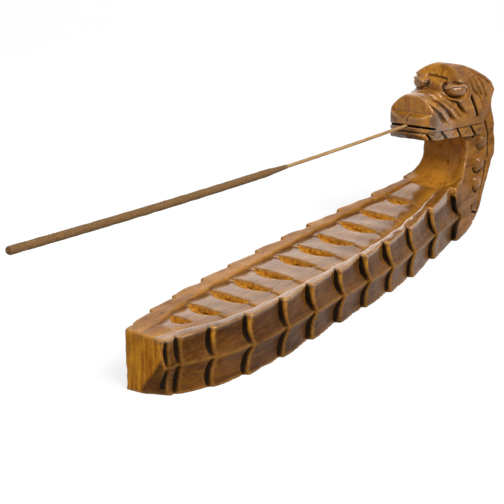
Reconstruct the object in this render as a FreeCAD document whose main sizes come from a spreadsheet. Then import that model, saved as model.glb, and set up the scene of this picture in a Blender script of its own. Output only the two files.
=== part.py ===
import FreeCAD, Part
import math
import os
import Sketcher

# Incense burner carved from one block of wood: a scaled creature on its back, head curled over its belly.
# Frame: +X from tail to nape, +Z up, symmetric about Y = 0, origin on the base midway between tail and nape.
# Lengths named *_at are measured from the tail end, heights from the table, all in millimetres.

doc = FreeCAD.newDocument("incense_burner")
sheet = doc.addObject("Spreadsheet::Sheet", "sizes")

driving_dimensions = (
    ("overall_length", 232.5, "tail end to nape"),
    ("trunk_height", 20.0, "base to rim"),
    ("trunk_width", 37.6, "widest point of the rims"),
    ("tail_width", 13.6, "rims at the tail end"),
    ("tail_sway", 2.6, "tail end bends to the far side"),
    ("swell_width", 30.0, "rims where the tail begins to swell"),
    ("swell_sway", 0.9, "the bend there"),
    ("swell_at", 23.0, "tail end to that point"),
    ("taper_width", 36.4, "rims where the tail ends"),
    ("taper_at", 54.0, "tail end to that point"),
    ("waist_at", 92.0, "tail end to the first full width"),
    ("shoulder_width", 33.5, "rims where the trunk narrows to the neck"),
    ("shoulder_to_nape", 80.0, "that point to the nape"),
    ("shoulder_rise", 0.7, "rims there above the trunk's"),
    ("full_width_to_nape", 103.0, "last full width to the nape"),
    ("hip_width", 27.0, "rims under the snout"),
    ("hip_to_nape", 53.0, "that point to the nape"),
    ("hip_rise", 2.2, "rims there above the trunk's"),
    ("neck_root_width", 22.6, "rims where the neck rises"),
    ("neck_root_to_nape", 28.5, "that point to the nape"),
    ("neck_rise", 4.6, "rims there above the trunk's"),
    ("base_flare", 1.2, "base beyond the rim, each side"),
    ("ridge_swell", 1.5, "mid-height ridge beyond the rim, each side"),
    ("rim_width", 7.4, "flat rim beside the trough"),
    ("tail_rim_width", 3.6, "the same at the tail"),
    ("neck_rim_width", 5.4, "the same at the neck"),
    ("trough_depth", 2.5, "rim to the middle of the trough"),
    ("trough_edge_drop", 1.3, "rim to the trough's edge"),
    ("tail_trough_depth", 1.8, "rim to the middle of the trough at the tail"),
    ("neck_trough_depth", 3.6, "the same at the neck"),
    ("tail_wall", 8.0, "solid wood before the trough"),
    ("neck_thickness", 17.5, "front of the neck to nape"),
    ("neck_front_width", 18.6, "front corners of the neck"),
    ("nape_width", 27.0, "back of the neck and crest"),
    ("neck_hollow", 3.0, "back of the neck in front of the nape, above the heel and under the head"),
    ("neck_bulge_low", 8.0, "top of the heel to the neck's full thickness"),
    ("neck_bulge_high", 14.0, "top of the heel to where it thins again"),
    ("neck_top_drop", 6.0, "top of the neck, in the head, below the nape"),
    ("heel_radius", 23.0, "curve from the base up the back of the neck"),
    ("scoop_radius", 10.5, "curve from the rims up the front of the neck"),
    ("jaw_height", 46.0, "under the chin"),
    ("jaw_fall", 4.6, "drop of the jaw line back to the neck"),
    ("chin_setback", 4.0, "chin behind the lips"),
    ("chin_bevel", 2.3, "chin's front edge above its underside"),
    ("lip_setback", 1.0, "edges of the lips behind their middle"),
    ("lip_bevel", 1.2, "upper lip's front edge below its top"),
    ("lip_width", 7.8, "straight front of the lips"),
    ("lip_corner", 7.0, "lips curve back to the full width of the snout"),
    ("lip_corner_radius", 8.2, "that curve"),
    ("mouth_height", 52.2, "middle of the mouth"),
    ("lip_height", 56.6, "top of the upper lip"),
    ("snout_height", 63.6, "top of the snout"),
    ("crest_height", 71.6, "top of the crest"),
    ("nape_height", 58.0, "back corner of the crest"),
    ("nape_undercut", 4.5, "head's lower back corner in front of the nape"),
    ("nape_drop", 5.0, "that corner below the nape"),
    ("crest_back", 2.0, "end of the crest in front of the nape"),
    ("crest_back_rise", 3.4, "end of the crest above the nape"),
    ("crest_radius", 35.0, "curve of the crest in side view"),
    ("crest_start", 5.0, "brow to the top of the forehead"),
    ("crest_flat", 4.0, "flat top of the forehead"),
    ("crest_arch", 12.6, "rise of the crest in front view"),
    ("forehead_foot", 1.5, "brow to the foot of the forehead"),
    ("forehead_rise", 2.5, "foot of the forehead above the snout"),
    ("bridge_dip", 1.6, "snout's top dips to the brow"),
    ("nose_lean", 0.6, "nose leans back"),
    ("snout_width", 19.6, "across the snout"),
    ("brow_width", 21.5, "across the head at the eyes"),
    ("snout_to_neck", 37.5, "lips to the front of the neck"),
    ("lip_overhang", 5.4, "lips in front of the nose"),
    ("muzzle_length", 20.0, "nose to the brow"),
    ("mouth_gap", 1.3, "mouth slot"),
    ("mouth_depth", 8.0, "mouth slot, back from the lips"),
    ("eye_width", 9.6, "bulging eye, across"),
    ("eye_rise", 6.8, "bulging eye, up and down"),
    ("eye_depth", 7.2, "bulging eye, front to back"),
    ("eye_arc", 80.0, "degrees, round of the eye to its flat corners"),
    ("eye_spacing", 14.0, "between the eyes"),
    ("eye_height", 63.0, "middle of the eyes"),
    ("eye_setback", 1.0, "middle of the eyes behind the brow"),
    ("scale_pitch", 19.3, "length of a flank scale"),
    ("tail_scale", 5.5, "length of the first scale"),
    ("tail_scale_growth", 1.75, "each tail scale to the one before"),
    ("head_scale", 27.6, "length of the scales under the head"),
    ("scale_depth", 2.1, "step from one scale to the next, at rim and base"),
    ("ridge_depth", 1.15, "the same at mid height"),
    ("chevron", 1.8, "scale edges lean headward to mid height"),
    ("first_gouge_at", 25.0, "tail end to the end of the first belly scute"),
    ("scute_pitch", 12.9, "second belly scute"),
    ("scute_growth", 1.054, "each scute to the one before"),
    ("gouge_radius", 30.0, "crescent gouge between scutes"),
    ("gouge_length", 12.0, "gouge's run above and into the floor"),
    ("gouge_depth", 1.2, "deepest part of a gouge"),
    ("gouge_slope", 17.0, "degrees, gouge into the floor"),
    ("stick_tilt", 3.6, "degrees, tip up"),
    ("core_diameter", 1.3, "bamboo splint"),
    ("socket_clearance", 0.08, "splint in its hole, on the radius"),
    ("socket_depth", 8.0, "hole behind the lips"),
    ("socket_gap", 0.2, "splint's end to the bottom of the hole"),
    ("stick_length", 254.0, "whole stick"),
    ("paste_length", 149.5, "rolled paste"),
    ("paste_diameter", 2.8, "rolled paste"),
    ("paste_taper", 7.0, "paste thins out along the splint"),
    ("paste_thin", 0.15, "paste where it begins"),
    ("paste_tip", 0.9, "paste over the end of the splint"),
    ("paste_tip_round", 0.4, "paste drawn in at its end"),
    ("overlap", 1.0, "wood shared by neighbouring forms"),
    ("cut_margin", 2.0, "cutting forms beyond the wood"),
    ("skin", 0.1, "wood taken off at the raised edge of a scale"),
)
for row, (alias, value, note) in enumerate(driving_dimensions, start=1):
    sheet.set(f"A{row}", str(value))
    sheet.setAlias(f"A{row}", alias)
    sheet.set(f"B{row}", note)
doc.recompute()


def size(expression):
    return float(sheet.evalExpression(expression))


def along(distance):
    return f"({distance}) - sizes.overall_length / 2"


def from_nape(distance):
    return f"sizes.overall_length / 2 - ({distance})"


def origin_plane(body, role):
    return next(plane for plane in body.Origin.OriginFeatures if plane.Role == role)


def sketch_on(body, role, name, offset="0"):
    sketch = body.newObject("Sketcher::SketchObject", name)
    sketch.AttachmentSupport = [(origin_plane(body, role), "")]
    sketch.MapMode = "FlatFace"
    sketch.setExpression("AttachmentOffset.Base.z", offset)
    return sketch


def pin_point(sketch, edge, point, across, up):
    # A corner is dimensioned from the sketch's origin, or laid on an axis where its distance is nought.
    for kind, axis, expression in (("DistanceX", -2, across), ("DistanceY", -1, up)):
        if expression == "0":
            sketch.addConstraint(Sketcher.Constraint("PointOnObject", edge, point, axis))
            continue
        constraint = sketch.addConstraint(Sketcher.Constraint(kind, -1, 1, edge, point, size(expression)))
        sketch.setExpression(f"Constraints[{constraint}]", expression)


def arc_between(start, end, radius, bulge):
    # The short arc: bulge 1 curves to the right of the way from start to end, -1 to the left.
    middle = (start + end) * 0.5
    chord = end - start
    right = FreeCAD.Vector(chord.y, -chord.x, 0).normalize()
    sagitta = radius - math.sqrt(radius ** 2 - chord.Length ** 2 / 4)
    return Part.Arc(start, middle + right * sagitta * bulge, end)


def outline(sketch, corners):
    # Closed outline, anticlockwise: a corner is (across, up), and (across, up, radius, bulge) starts an arc to
    # the next corner. An arc is kept anticlockwise, so a hollow one, with bulge -1, runs from its far end.
    points = [FreeCAD.Vector(size(corner[0]), size(corner[1]), 0) for corner in corners]
    first = [2 if len(corner) == 4 and corner[3] < 0 else 1 for corner in corners]
    count = len(corners)
    for edge, corner in enumerate(corners):
        start, end = points[edge], points[(edge + 1) % count]
        curved = len(corner) == 4
        curve = arc_between(start, end, size(corner[2]), corner[3]) if curved else Part.LineSegment(start, end)
        sketch.addGeometry(curve)
    for edge in range(count):
        after = (edge + 1) % count
        sketch.addConstraint(Sketcher.Constraint("Coincident", edge, 3 - first[edge], after, first[after]))
    for edge, corner in enumerate(corners):
        pin_point(sketch, edge, first[edge], corner[0], corner[1])
        if len(corner) == 4:
            constraint = sketch.addConstraint(Sketcher.Constraint("Radius", edge, size(corner[2])))
            sketch.setExpression(f"Constraints[{constraint}]", corner[2])


def half(alias):
    return f"sizes.{alias} / 2"


# Trunk: a boat-shaped loft with a ridge at mid height. Its rims climb and draw in towards the neck.
stations = (
    ("tail", along("0"), half("tail_width"), "0", "sizes.tail_sway"),
    ("swell", along("sizes.swell_at"), half("swell_width"), "0", "sizes.swell_sway"),
    ("taper", along("sizes.taper_at"), half("taper_width"), "0", "0"),
    ("waist", along("sizes.waist_at"), half("trunk_width"), "0", "0"),
    ("full_width", from_nape("sizes.full_width_to_nape"), half("trunk_width"), "0", "0"),
    ("shoulder", from_nape("sizes.shoulder_to_nape"), half("shoulder_width"), "sizes.shoulder_rise", "0"),
    ("hip", from_nape("sizes.hip_to_nape"), half("hip_width"), "sizes.hip_rise", "0"),
    ("neck_root", from_nape("sizes.neck_root_to_nape"), half("neck_root_width"), "sizes.neck_rise", "0"),
)
trunk = doc.addObject("PartDesign::Body", "trunk")
sections = []
for name, place, half_width, rise, sway in stations:
    section = sketch_on(trunk, "YZ_Plane", f"section_{name}", place)
    levels = ((f"{half_width} + sizes.base_flare", "-sizes.overlap"),
              (f"{half_width} + sizes.ridge_swell", half("trunk_height")),
              (half_width, f"sizes.trunk_height + {rise}"))
    right_side = [(f"{sway} + {reach}", level) for reach, level in levels]
    left_side = [(f"{sway} - ({reach})", level) for reach, level in reversed(levels)]
    outline(section, right_side + left_side)
    sections.append(section)
hull = trunk.newObject("PartDesign::AdditiveLoft", "hull")
hull.Profile = sections[0]
hull.Sections = sections[1:]
doc.recompute()

# Trough: a dished form that is cut from the trunk, shallow at the tail and climbing to the neck.
trough = doc.addObject("PartDesign::Body", "trough")
trough_sections = []
above = "sizes.trunk_height + sizes.neck_rise + sizes.cut_margin"
trough_ends = {
    "tail": ("tail_rim_width", "tail_trough_depth"),
    "neck_root": ("neck_rim_width", "neck_trough_depth"),
}
for name, place, half_width, rise, sway in stations:
    rim_size, depth_size = trough_ends.get(name, ("rim_width", "trough_depth"))
    reach = f"({half_width} - sizes.{rim_size})"
    edge = f"sizes.trunk_height + {rise} - sizes.trough_edge_drop"
    dish = f"(sizes.{depth_size} - sizes.trough_edge_drop)"
    start = along("sizes.tail_wall") if name == "tail" else place
    section = sketch_on(trough, "YZ_Plane", f"trough_{name}", start)
    outline(section, [
        (f"{sway} - {reach}", edge, f"({dish}^2 + {reach}^2) / (2 * {dish})", 1),
        (f"{sway} + {reach}", edge),
        (f"{sway} + {reach}", above),
        (f"{sway} - {reach}", above),
    ])
    trough_sections.append(section)
trough_form = trough.newObject("PartDesign::AdditiveLoft", "trough_form")
trough_form.Profile = trough_sections[0]
trough_form.Sections = trough_sections[1:]
doc.recompute()

# Neck: sawn to a hook in side view, then tapered in plan from the nape to the front corners.
neck = doc.addObject("PartDesign::Body", "neck")
neck_front = from_nape("sizes.neck_thickness")
neck_side = sketch_on(neck, "XZ_Plane", "neck_side")
neck_back = from_nape("sizes.neck_hollow")
neck_foot = from_nape("sizes.neck_root_to_nape + sizes.overlap")
neck_top = "sizes.nape_height - sizes.neck_top_drop"
rim_top = "sizes.trunk_height + sizes.neck_rise"
heel_start = f"{neck_back} - sizes.heel_radius"
outline(neck_side, [
    (neck_foot, "-sizes.overlap"),
    (heel_start, "-sizes.overlap"),
    (heel_start, "0", "sizes.heel_radius", 1),
    (neck_back, "sizes.heel_radius"),
    (from_nape("0"), "sizes.heel_radius + sizes.neck_bulge_low"),
    (from_nape("0"), "sizes.heel_radius + sizes.neck_bulge_high"),
    (neck_back, neck_top),
    (neck_front, neck_top),
    (neck_front, f"{rim_top} + sizes.scoop_radius", "sizes.scoop_radius", -1),
    (f"{neck_front} - sizes.scoop_radius", rim_top),
    (neck_foot, rim_top),
])
neck_pad = neck.newObject("PartDesign::Pad", "neck_pad")
neck_pad.Profile = neck_side
neck_pad.Midplane = True
neck_pad.setExpression("Length", "sizes.nape_width + 2 * sizes.cut_margin")
doc.recompute()


def carve_both_sides(body, name, corners):
    # The wood outside one side of a plan outline is cut away, and the same on the other side.
    plan = sketch_on(body, "XY_Plane", f"{name}_plan")
    outline(plan, corners)
    cut = body.newObject("PartDesign::Pocket", f"{name}_cut")
    cut.Profile = plan
    cut.Type = "ThroughAll"
    cut.Midplane = True
    mirror = body.newObject("PartDesign::Mirrored", f"{name}_mirror")
    mirror.Originals = [cut]
    mirror.MirrorPlane = (origin_plane(body, "XZ_Plane"), [""])
    body.Tip = mirror
    doc.recompute()


outside = "sizes.trunk_width"
past_foot = from_nape("sizes.neck_root_to_nape + sizes.overlap + sizes.cut_margin")
past_nape = from_nape("-sizes.cut_margin")
carve_both_sides(neck, "neck", [
    (past_foot, half("neck_root_width")),
    (from_nape("sizes.neck_root_to_nape"), half("neck_root_width")),
    (neck_front, half("neck_front_width")),
    (past_nape, half("nape_width")),
    (past_nape, outside),
    (past_foot, outside),
])
across_the_block = FreeCAD.Rotation(FreeCAD.Vector(0, 0, 1), FreeCAD.Vector(0, 1, 0))
scoop = doc.addObject("Part::Sphere", "scoop")
scoop.Placement.Rotation = across_the_block
scoop.setExpression("Radius", "sqrt(sizes.scoop_radius^2 + (sizes.neck_front_width / 2)^2)")
scoop.setExpression("Placement.Base.x", f"{neck_front} - sizes.scoop_radius")
scoop.setExpression("Placement.Base.z", f"{rim_top} + sizes.scoop_radius")

# Head: sawn in side view with lips, snout, brow and crest, then rounded in plan and over the snout.
head = doc.addObject("PartDesign::Body", "head")
lips = f"{neck_front} - sizes.snout_to_neck"
nose = f"{lips} + sizes.lip_overhang"
brow = f"{nose} + sizes.muzzle_length"
head_side = sketch_on(head, "XZ_Plane", "head_side")
outline(head_side, [
    (f"{lips} + sizes.chin_setback", "sizes.jaw_height"),
    (neck_front, "sizes.jaw_height - sizes.jaw_fall"),
    (f"{neck_front} + sizes.overlap", "sizes.jaw_height - sizes.jaw_fall"),
    (from_nape("sizes.nape_undercut"), "sizes.nape_height - sizes.nape_drop"),
    (from_nape("0"), "sizes.nape_height"),
    (from_nape("sizes.crest_back"), "sizes.nape_height + sizes.crest_back_rise", "sizes.crest_radius", 1),
    (f"{brow} + sizes.crest_start + sizes.crest_flat", "sizes.crest_height"),
    (f"{brow} + sizes.crest_start", "sizes.crest_height"),
    (f"{brow} + sizes.forehead_foot", "sizes.snout_height + sizes.forehead_rise"),
    (brow, "sizes.snout_height - sizes.bridge_dip"),
    (f"{nose} + sizes.nose_lean", "sizes.snout_height"),
    (nose, "sizes.lip_height"),
    (f"{lips} + sizes.lip_setback", "sizes.lip_height - sizes.lip_bevel"),
    (lips, "sizes.mouth_height"),
    (f"{lips} + sizes.lip_setback", "sizes.jaw_height + sizes.chin_bevel"),
])
head_pad = head.newObject("PartDesign::Pad", "head_pad")
head_pad.Profile = head_side
head_pad.Midplane = True
head_pad.setExpression("Length", "sizes.nape_width + 2 * sizes.cut_margin")
carve_both_sides(head, "head", [
    (f"{lips} - sizes.cut_margin", half("lip_width")),
    (lips, half("lip_width"), "sizes.lip_corner_radius", -1),
    (f"{lips} + sizes.lip_corner", half("snout_width")),
    (brow, half("brow_width")),
    (past_nape, half("nape_width")),
    (past_nape, outside),
    (f"{lips} - sizes.cut_margin", outside),
])
dome_rise = "(sizes.snout_height - sizes.lip_height)"
dome_front = sketch_on(head, "YZ_Plane", "dome_front", brow)
outline(dome_front, [
    (f"-{half('snout_width')}", "sizes.lip_height",
     f"({dome_rise}^2 + ({half('snout_width')})^2) / (2 * {dome_rise})", -1),
    (half("snout_width"), "sizes.lip_height"),
    (outside, "sizes.lip_height"),
    (outside, "sizes.crest_height + sizes.cut_margin"),
    (f"-{outside}", "sizes.crest_height + sizes.cut_margin"),
    (f"-{outside}", "sizes.lip_height"),
])
snout_dome = head.newObject("PartDesign::Pocket", "snout_dome")
snout_dome.Profile = dome_front
snout_dome.Type = "ThroughAll"
head.Tip = snout_dome
doc.recompute()

arch_spring = "sizes.crest_height - sizes.crest_arch"
arch_front = sketch_on(head, "YZ_Plane", "arch_front")
outline(arch_front, [
    (f"-{half('nape_width')}", arch_spring,
     f"(sizes.crest_arch^2 + ({half('nape_width')})^2) / (2 * sizes.crest_arch)", -1),
    (half("nape_width"), arch_spring),
    (outside, arch_spring),
    (outside, "sizes.crest_height + sizes.cut_margin"),
    (f"-{outside}", "sizes.crest_height + sizes.cut_margin"),
    (f"-{outside}", arch_spring),
])
arch = head.newObject("PartDesign::Pocket", "arch")
arch.Profile = arch_front
arch.Type = "ThroughAll"
arch.Midplane = True
head.Tip = arch
doc.recompute()

mouth_side = sketch_on(head, "XZ_Plane", "mouth_side")
mouth_top = "sizes.mouth_height + sizes.mouth_gap / 2"
mouth_floor = "sizes.mouth_height - sizes.mouth_gap / 2"
outline(mouth_side, [
    (f"{lips} - sizes.cut_margin", mouth_floor),
    (f"{lips} + sizes.mouth_depth", mouth_floor),
    (f"{lips} + sizes.mouth_depth", mouth_top),
    (f"{lips} - sizes.cut_margin", mouth_top),
])
mouth = head.newObject("PartDesign::Pocket", "mouth")
mouth.Profile = mouth_side
mouth.Type = "ThroughAll"
mouth.Midplane = True
head.Tip = mouth
doc.recompute()

eyes = []
for side, sign in (("near", "-"), ("far", "")):
    eye = doc.addObject("Part::Ellipsoid", f"eye_{side}")
    eye.Placement.Rotation = across_the_block
    eye.setExpression("Radius1", "sizes.eye_width / 2")
    eye.setExpression("Radius2", "sizes.eye_depth / 2")
    eye.setExpression("Radius3", "sizes.eye_rise / 2")
    eye.setExpression("Angle1", "-sizes.eye_arc")
    eye.setExpression("Angle2", "sizes.eye_arc")
    eye.setExpression("Placement.Base.x", f"{brow} + sizes.eye_setback")
    eye.setExpression("Placement.Base.y", f"{sign}sizes.eye_spacing / 2")
    eye.setExpression("Placement.Base.z", "sizes.eye_height")
    eyes.append(eye)
doc.recompute()

# Flank scales: each starts full at its tail edge and sinks headward to the step of the next one. A few growing
# scales start at the tail, long ones end under the head, and equal ones share the length between them.
tail_scales = 3
head_scales = 2
scale_starts = [0.0]
for number in range(tail_scales):
    scale_starts.append(scale_starts[-1] + size("sizes.tail_scale") * size("sizes.tail_scale_growth") ** number)
neck_root_at = size("sizes.overall_length - sizes.neck_root_to_nape")
regular_span = neck_root_at - head_scales * size("sizes.head_scale") - scale_starts[-1]
regular_scales = round(regular_span / size("sizes.scale_pitch"))
for number in range(regular_scales):
    scale_starts.append(scale_starts[-1] + regular_span / regular_scales)
for number in range(head_scales):
    scale_starts.append(scale_starts[-1] + size("sizes.head_scale"))

rim_level = size("sizes.trunk_height")
skin = size("sizes.skin")
scale_margin = size("sizes.scale_depth + sizes.cut_margin")
# A scale's cut at four heights: where it lies, the corner of the trunk that it follows, its lean and its step.
cut_levels = (
    (-size("2 * sizes.overlap"), "base", 0.0, size("sizes.scale_depth")),
    (rim_level / 2, "ridge", size("sizes.chevron"), size("sizes.ridge_depth")),
    (rim_level, "rim", 0.0, size("sizes.scale_depth")),
    (size(above), "rim", 0.0, size("sizes.scale_depth")),
)


def flank(distance, corner, side):
    # Where a corner of the uncut trunk's section lies at a distance from the tail end.
    place = size(along(str(min(max(distance, skin), neck_root_at - skin))))
    points = [vertex.Point for vertex in trunk.Shape.slice(FreeCAD.Vector(1, 0, 0), place)[0].Vertexes]
    middle = sum(point.y for point in points) / len(points)
    rising = sorted((point.z, point.y) for point in points if side * (point.y - middle) > 0)
    return {"base": rising[0], "ridge": rising[len(rising) // 2], "rim": rising[-1]}[corner][1]


def scale_cut(start, end, side):
    # A wedge between two scale edges, lofted from the base over the ridge to above the rim.
    wires = []
    for height, corner, lean, step in cut_levels:
        tail_edge = flank(start + lean, corner, side)
        head_edge = flank(end + lean, corner, side)
        corners = (
            (start + lean, tail_edge - side * skin),
            (end + lean, head_edge - side * step),
            (end + lean, head_edge + side * scale_margin),
            (start + lean, tail_edge + side * scale_margin),
        )
        points = [FreeCAD.Vector(size(along(str(x))), y, height) for x, y in corners]
        wires.append(Part.makePolygon(points + points[:1]))
    return Part.makeLoft(wires, True, True)


scale_cuts = []
for side in (-1, 1):
    for start, end in zip(scale_starts, scale_starts[1:]):
        scale_cuts.append(scale_cut(start, end, side))
scales = doc.addObject("Part::Feature", "scale_cuts")
scales.Shape = scale_cuts[0].multiFuse(scale_cuts[1:])

# Belly scutes: a crescent gouge, pushed headward and down into the trough, ends each one.
gouges = []
gouge_at = size("sizes.first_gouge_at")
scute_length = size("sizes.scute_pitch")
slope = math.radians(size("sizes.gouge_slope"))
way = FreeCAD.Vector(math.cos(slope), 0, -math.sin(slope))
lift = size("sizes.gouge_radius - sizes.gouge_depth")
floor_level = size("sizes.trunk_height - sizes.trough_depth")
last_gouge_at = size("sizes.overall_length - sizes.hip_to_nape")
while gouge_at < last_gouge_at:
    gouge = doc.addObject("Part::Cylinder", f"gouge_{len(gouges) + 1}")
    gouge.setExpression("Radius", "sizes.gouge_radius")
    gouge.setExpression("Height", "sizes.gouge_length")
    foot = FreeCAD.Vector(size(along(str(gouge_at))), 0, floor_level)
    end = foot + FreeCAD.Vector(math.sin(slope), 0, math.cos(slope)) * lift
    gouge.Placement = FreeCAD.Placement(end - way * size("sizes.gouge_length"),
                                        FreeCAD.Rotation(FreeCAD.Vector(0, 0, 1), way))
    gouges.append(gouge)
    gouge_at += scute_length
    scute_length *= size("sizes.scute_growth")


def lay_along_stick(piece, back_from_lips):
    # The piece's own Z runs out of the mouth, from a point this far behind the lips.
    piece.Placement = FreeCAD.Placement(FreeCAD.Vector(), FreeCAD.Rotation(FreeCAD.Vector(0, -1, 0), 90))
    piece.setExpression("Placement.Rotation.Angle", "90 - sizes.stick_tilt")
    piece.setExpression("Placement.Base.x", f"{lips} + ({back_from_lips}) * cos(sizes.stick_tilt * 1deg)")
    piece.setExpression("Placement.Base.z",
                        f"sizes.mouth_height - ({back_from_lips}) * sin(sizes.stick_tilt * 1deg)")


# Socket: a blind hole in the mouth, rising towards the tail so that the stick stays in by its own weight.
socket = doc.addObject("Part::Cylinder", "socket")
socket.setExpression("Radius", "sizes.core_diameter / 2 + sizes.socket_clearance")
socket.setExpression("Height", "sizes.socket_depth + sizes.lip_overhang")
lay_along_stick(socket, "sizes.socket_depth")

# Ground: the base is sawn flat along its whole length.
ground = doc.addObject("Part::Box", "ground")
ground.setExpression("Length", "sizes.overall_length + 2 * sizes.cut_margin")
ground.setExpression("Width", "2 * sizes.trunk_width")
ground.setExpression("Height", "2 * sizes.overlap")
ground.setExpression("Placement.Base.x", "-sizes.overall_length / 2 - sizes.cut_margin")
ground.setExpression("Placement.Base.y", "-sizes.trunk_width")
ground.setExpression("Placement.Base.z", "-2 * sizes.overlap")

block = doc.addObject("Part::MultiFuse", "block")
block.Shapes = [trunk, neck, head] + eyes
cuts = doc.addObject("Part::MultiFuse", "cuts")
cuts.Shapes = [ground, scales, trough, scoop, socket] + gouges
carved_body = doc.addObject("Part::Cut", "carved_body")
carved_body.Base = block
carved_body.Tool = cuts

# Incense stick: a bamboo splint, with paste rolled on its outer part and over its end.
splint_start = "sizes.socket_depth - sizes.socket_gap"
bamboo_core = doc.addObject("Part::Cylinder", "bamboo_core")
bamboo_core.setExpression("Radius", "sizes.core_diameter / 2")
bamboo_core.setExpression("Height", "sizes.stick_length - sizes.paste_tip")
lay_along_stick(bamboo_core, splint_start)

incense_paste = doc.addObject("PartDesign::Body", "incense_paste")
paste_half = sketch_on(incense_paste, "XZ_Plane", "paste_half")
paste_start = "sizes.stick_length - sizes.paste_length"
outline(paste_half, [
    (half("core_diameter"), paste_start),
    (f"{half('core_diameter')} + sizes.paste_thin", paste_start),
    (half("paste_diameter"), f"{paste_start} + sizes.paste_taper"),
    (half("paste_diameter"), "sizes.stick_length - sizes.paste_tip"),
    (f"{half('paste_diameter')} - sizes.paste_tip_round", "sizes.stick_length"),
    ("0", "sizes.stick_length"),
    ("0", "sizes.stick_length - sizes.paste_tip"),
    (half("core_diameter"), "sizes.stick_length - sizes.paste_tip"),
])
paste_roll = incense_paste.newObject("PartDesign::Revolution", "paste_roll")
paste_roll.Profile = paste_half
paste_roll.ReferenceAxis = (paste_half, ["V_Axis"])
paste_roll.Angle = 360
lay_along_stick(incense_paste, splint_start)
doc.recompute()

for item in doc.Objects:
    if "Invalid" in item.State or "Error" in item.State:
        raise RuntimeError(f"{item.Label} failed: {item.State}")
os.makedirs("parts", exist_ok=True)
for piece in (carved_body, bamboo_core, incense_paste):
    if piece.Shape.isNull() or not piece.Shape.isValid():
        raise RuntimeError(f"{piece.Label} has no valid shape")
    print(piece.Label, len(piece.Shape.Solids), round(piece.Shape.Volume, 1), piece.Shape.BoundBox)
    piece.Shape.exportStep(f"parts/{piece.Label}.step")
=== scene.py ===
import bpy
import numpy as np
from mathutils import Matrix, Vector


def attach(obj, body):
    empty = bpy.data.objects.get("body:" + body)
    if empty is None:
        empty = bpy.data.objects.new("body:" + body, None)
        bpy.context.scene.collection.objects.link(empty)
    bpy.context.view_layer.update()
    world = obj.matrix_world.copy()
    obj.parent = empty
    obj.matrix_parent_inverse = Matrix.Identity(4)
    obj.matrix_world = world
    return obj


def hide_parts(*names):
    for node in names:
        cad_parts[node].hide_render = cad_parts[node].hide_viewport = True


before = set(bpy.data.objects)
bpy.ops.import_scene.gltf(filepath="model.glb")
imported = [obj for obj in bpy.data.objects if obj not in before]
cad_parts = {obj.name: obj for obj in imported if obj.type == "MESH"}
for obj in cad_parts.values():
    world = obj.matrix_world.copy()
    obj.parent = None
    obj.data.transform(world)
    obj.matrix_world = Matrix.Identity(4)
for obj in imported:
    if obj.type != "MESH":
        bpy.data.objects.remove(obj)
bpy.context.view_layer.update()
print("frame loaded:", sorted(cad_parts))

# The carving is worked out in millimetres, with x counted from a datum 2.5 mm before the tail end.
datum = dict(x=-118.75, perMetre=1000.0)


# small helpers for shapes

def smoothMax(a, b, k):
    # the larger of two fields, with the corner between them rounded over k
    h = np.clip(k - np.abs(a - b), 0, None) / k
    return np.maximum(a, b) + h * h * k * 0.25


def smoothMin(a, b, k):
    # the smaller of two fields, rounded the same way
    return -smoothMax(-a, -b, k)


def ramp(a, start, full):
    # 0 at the start, 1 where it is full, an S curve between; the start may be the larger of the two
    t = np.clip((a - start) / (full - start), 0, 1)
    return t * t * (3 - 2 * t)


def fade(distance, width):
    # 1 at no distance, straight down to 0 at a width
    return np.clip(1 - distance / width, 0, 1)


def upFrom(least, share):
    # from a least value up to 1 as a share goes from 0 to 1
    return least + (1 - least) * share


def curve(x, points, soften=7.0, samples=7):
    # a line through (x, value) points, averaged over a short window so that it bends softly
    px, pv = np.array(points, float).T
    steps = np.linspace(-1, 1, samples) * soften
    return np.mean([np.interp(x + s, px, pv) for s in steps], axis=0)


def lineDistance(x, z, points):
    # distance in side view from every (x, z) to a chain of straight lines
    best = np.full(np.broadcast(x, z).shape, 1e3)  # further than any point of the carving
    for (ax, az), (bx, bz) in zip(points, points[1:]):
        dx, dz = bx - ax, bz - az
        t = np.clip(((x - ax) * dx + (z - az) * dz) / (dx * dx + dz * dz), 0, 1)
        best = np.minimum(best, np.hypot(x - ax - t * dx, z - az - t * dz))
    return best


def outlineField(x, z, points):
    # signed distance in side view to a closed outline, negative inside: the even-odd rule gives the sign
    closed = list(points) + [points[0]]
    inside = np.zeros(np.broadcast(x, z).shape, bool)
    for (ax, az), (bx, bz) in zip(closed, closed[1:]):
        if az == bz:
            continue
        crosses = (az > z) != (bz > z)
        inside ^= crosses & (x < (bx - ax) * (z - az) / (bz - az) + ax)
    return np.where(inside, -1, 1) * lineDistance(x, z, closed)


def sphereField(x, y, z, centre, radius):
    # signed distance to a sphere, negative inside
    return np.sqrt((x - centre[0]) ** 2 + (y - centre[1]) ** 2 + (z - centre[2]) ** 2) - radius


def ellipsoidReach(px, py, pz, radii):
    # 0 in the middle of an ellipsoid, 1 on its skin, more outside
    return np.sqrt((px / radii[0]) ** 2 + (py / radii[1]) ** 2 + (pz / radii[2]) ** 2)


def arcPoints(centre, radius, start, end, count=14):
    # points on a round arc in side view, from one angle to another in degrees
    a = np.radians(np.linspace(start, end, count))
    return [(centre[0] + radius * c, centre[1] + radius * s) for c, s in zip(np.cos(a), np.sin(a))]


def waver(x, y, z, size, seed, count=5, turn=6.28, calm=3.0):
    # slow unevenness of a hand-held blade: a few sine waves in random directions, about -1 to 1
    dice = np.random.default_rng(seed)
    directions = dice.normal(size=(count, 3))
    phases = dice.uniform(0, turn, count)
    total = 0.0
    for direction, phase in zip(directions, phases):
        d = direction / np.linalg.norm(direction) * turn / size
        total = total + np.sin(d[0] * x + d[1] * y + d[2] * z + phase)
    return total / calm


# the trunk

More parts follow.
